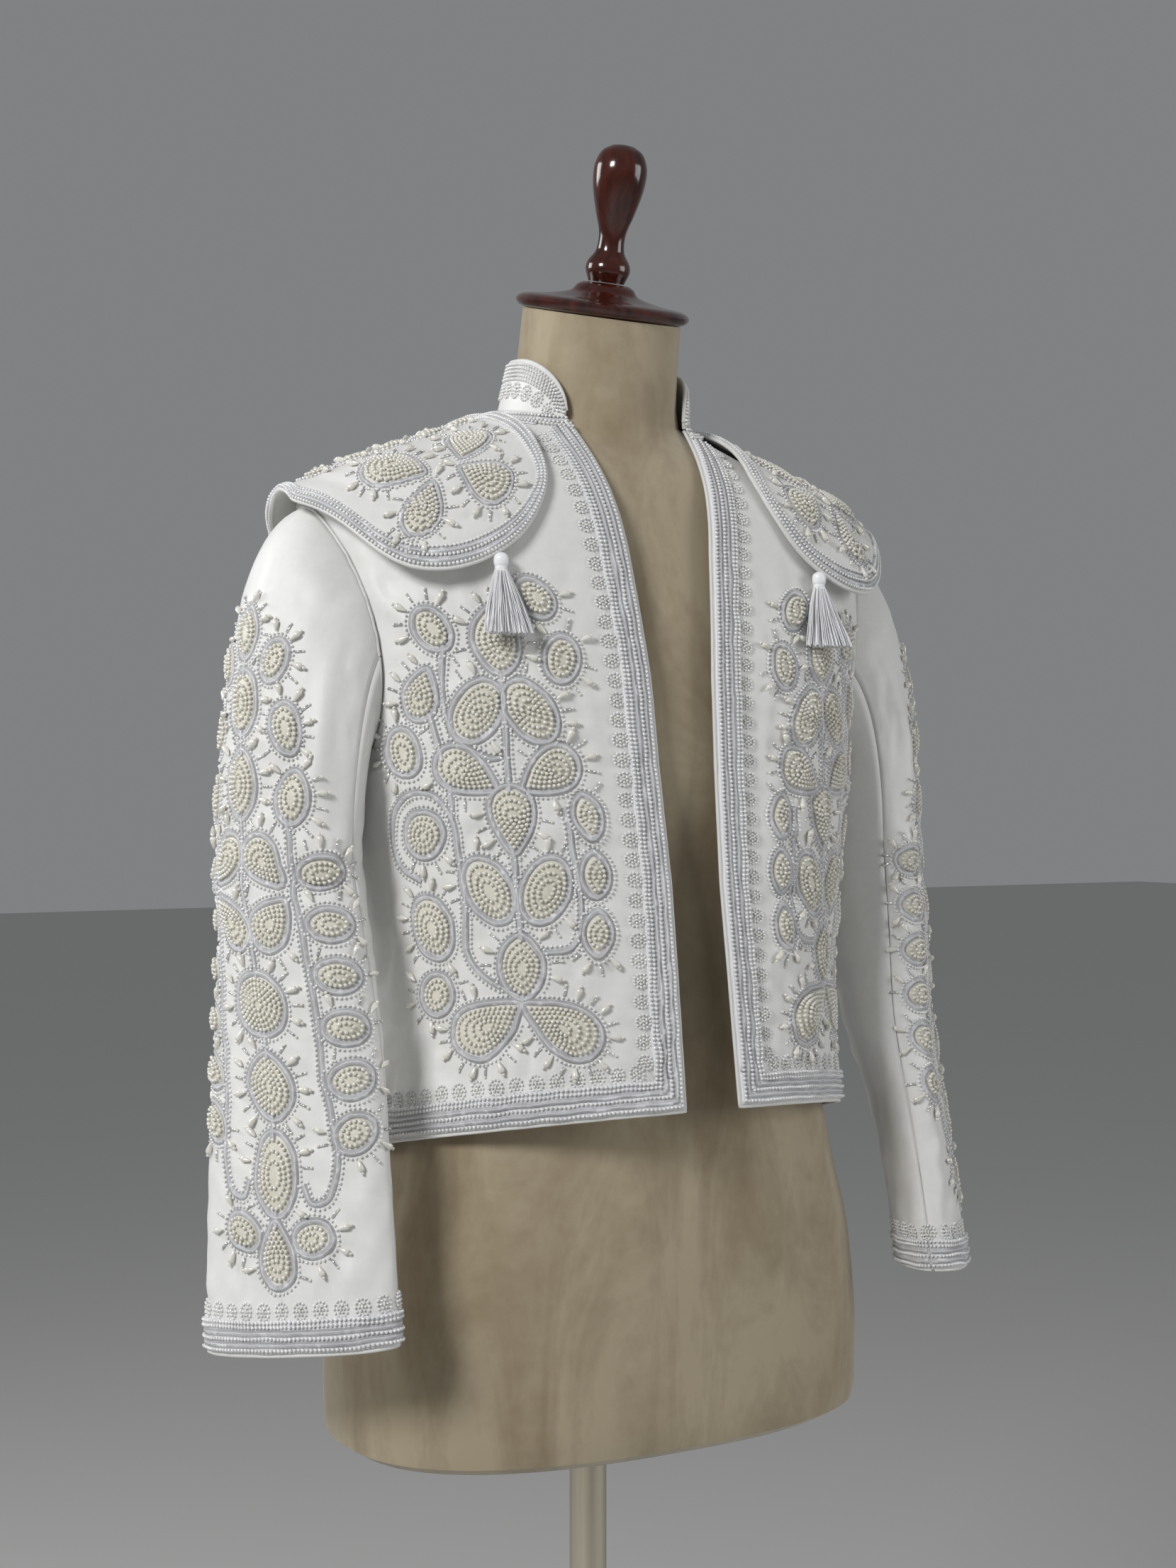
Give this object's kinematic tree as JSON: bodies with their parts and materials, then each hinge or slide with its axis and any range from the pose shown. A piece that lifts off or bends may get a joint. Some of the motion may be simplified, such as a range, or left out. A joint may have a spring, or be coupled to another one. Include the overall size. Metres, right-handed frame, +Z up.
{
  "type": "matador jacket on a limbless dress form",
  "caption": "Short open matador jacket with stand collar, shoulder wings, tassels, braid borders and raised embroidery, worn by a limbless suede dress form on a pole with a round base",
  "frame": {"origin": "on the floor, at the centre of the round base, below the pole", "axes": "+Z up along the pole; the open front of the jacket faces -Y; the wearer's left is +X"},
  "size_m": [0.6304, 0.4, 1.6868],
  "materials": {
    "satin": "off-white cotton satin, smooth with a soft sheen",
    "braid": "cool white corded braid set with rows of seed pearls",
    "lining": "peach acetate lining",
    "silk": "glossy cool white embroidery thread",
    "suede": "taupe suede cloth with darker brush marks",
    "wood": "dark red-brown turned wood, glossy varnish",
    "pole_metal": "polished metal tube",
    "base_metal": "black painted plate",
    "pearl": "ivory imitation pearl with a soft lustre",
    "glass_bead": "small clear and silver lined beads"
  },
  "bodies": {
    "root": {"jacket_back": "satin", "jacket_front_right": "satin", "jacket_front_left": "satin", "front_facing_right": "satin", "front_facing_left": "satin", "sleeve_top_right": "satin", "sleeve_top_left": "satin", "sleeve_under_right": "satin", "sleeve_under_left": "satin", "collar": "satin", "shoulder_wing_right": "satin", "shoulder_wing_left": "satin", "front_band_right": "braid", "front_band_left": "braid", "hem_band_right": "braid", "hem_band_left": "braid", "hem_band_back": "braid", "cuff_band_top_right": "braid", "cuff_band_top_left": "braid", "cuff_band_under_right": "braid", "cuff_band_under_left": "braid", "wing_band_right": "braid", "wing_band_left": "braid", "cuff_lining_right": "lining", "cuff_lining_left": "lining", "tassel_right": "silk", "tassel_left": "silk", "dress_form": "suede", "neck_cap": "wood", "finial": "wood", "stand_pole": "pole_metal", "stand_base": "base_metal"}
  },
  "joints": []
}
